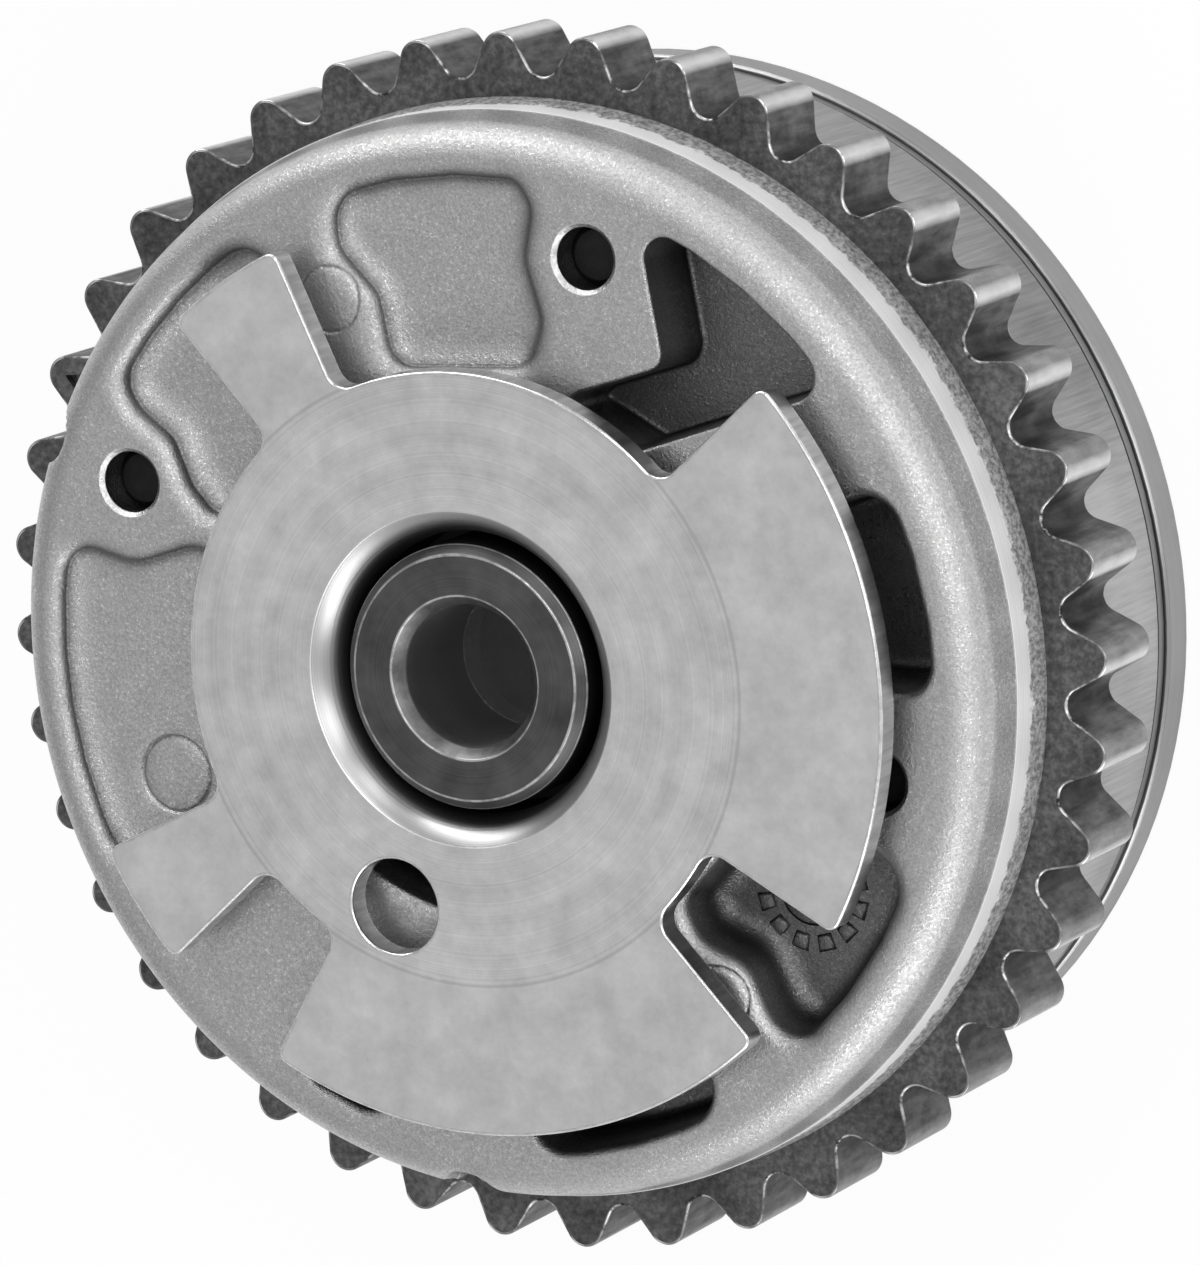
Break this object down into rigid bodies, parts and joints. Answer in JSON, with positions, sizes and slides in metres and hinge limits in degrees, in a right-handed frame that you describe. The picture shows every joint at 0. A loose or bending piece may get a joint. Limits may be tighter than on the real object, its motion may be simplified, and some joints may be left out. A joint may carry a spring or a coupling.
{
  "type": "cam phaser",
  "caption": "Vane-type camshaft phaser: chain sprocket ring, pocketed die-cast cover and drum around a vane rotor that carries a lobed target wheel and a sprung lock pin.",
  "frame": {"origin": "on the turning axis, at the rear face that lies on the floor", "axes": "+Z along the turning axis, from the rear plate to the target wheel; +X towards the gap between the first and second pockets on the picture's right, one tooth being 1.2 degrees below it"},
  "size_m": [0.104, 0.104, 0.0413],
  "materials": {
    "plate_steel": "satin, turned",
    "seal_plate_steel": "satin, rolled",
    "turned_aluminium": "fine turned",
    "ring_steel": "dark steam-treated sintered steel",
    "cast_aluminium": "speckled die casting",
    "screw_steel": "black oxide",
    "pin_steel": "ground",
    "rotor_steel": "sintered, ground ends",
    "spring_steel": "bright drawn",
    "wheel_steel": "satin with fine turning marks",
    "bush_steel": "dark turned",
    "seal_plastic": "matte"
  },
  "bodies": {
    "housing": {"rear_plate": "plate_steel", "seal_plate": "seal_plate_steel", "stator": "turned_aluminium", "sprocket": "ring_steel", "front_cover": "cast_aluminium", "clamp_screws": "screw_steel", "locating_dowel": "pin_steel", "lock_pin_seat": "pin_steel", "web_seal_1": "seal_plastic", "web_seal_2": "seal_plastic", "web_seal_3": "seal_plastic", "web_seal_4": "seal_plastic", "web_seal_spring_1": "spring_steel", "web_seal_spring_2": "spring_steel", "web_seal_spring_3": "spring_steel", "web_seal_spring_4": "spring_steel"},
    "rotor": {"rotor": "rotor_steel", "vane_seal_1": "seal_plastic", "vane_seal_2": "seal_plastic", "vane_seal_3": "seal_plastic", "vane_seal_4": "seal_plastic", "vane_seal_spring_1": "spring_steel", "vane_seal_spring_2": "spring_steel", "vane_seal_spring_3": "spring_steel", "vane_seal_spring_4": "spring_steel", "lock_pin_spring": "spring_steel", "lock_pin_cap": "pin_steel", "reluctor_wheel": "wheel_steel", "reluctor_dowel": "pin_steel", "centre_bush": "bush_steel"},
    "lock_pin": {"lock_pin": "pin_steel"}
  },
  "joints": [
    {"name": "rotor_swing", "type": "hinge", "parent": "housing", "child": "rotor", "pos_m": [0, 0, 0], "axis": [0, 0, 1], "range_deg": [-25, 0]},
    {"name": "lock_pin_slide", "type": "slide", "parent": "rotor", "child": "lock_pin", "axis": [0, 0, 1], "range_m": [0, 0.0035], "stiffness_N_per_m": 800, "springref_m": -0.006, "deforming": ["lock_pin_spring"]}
  ]
}
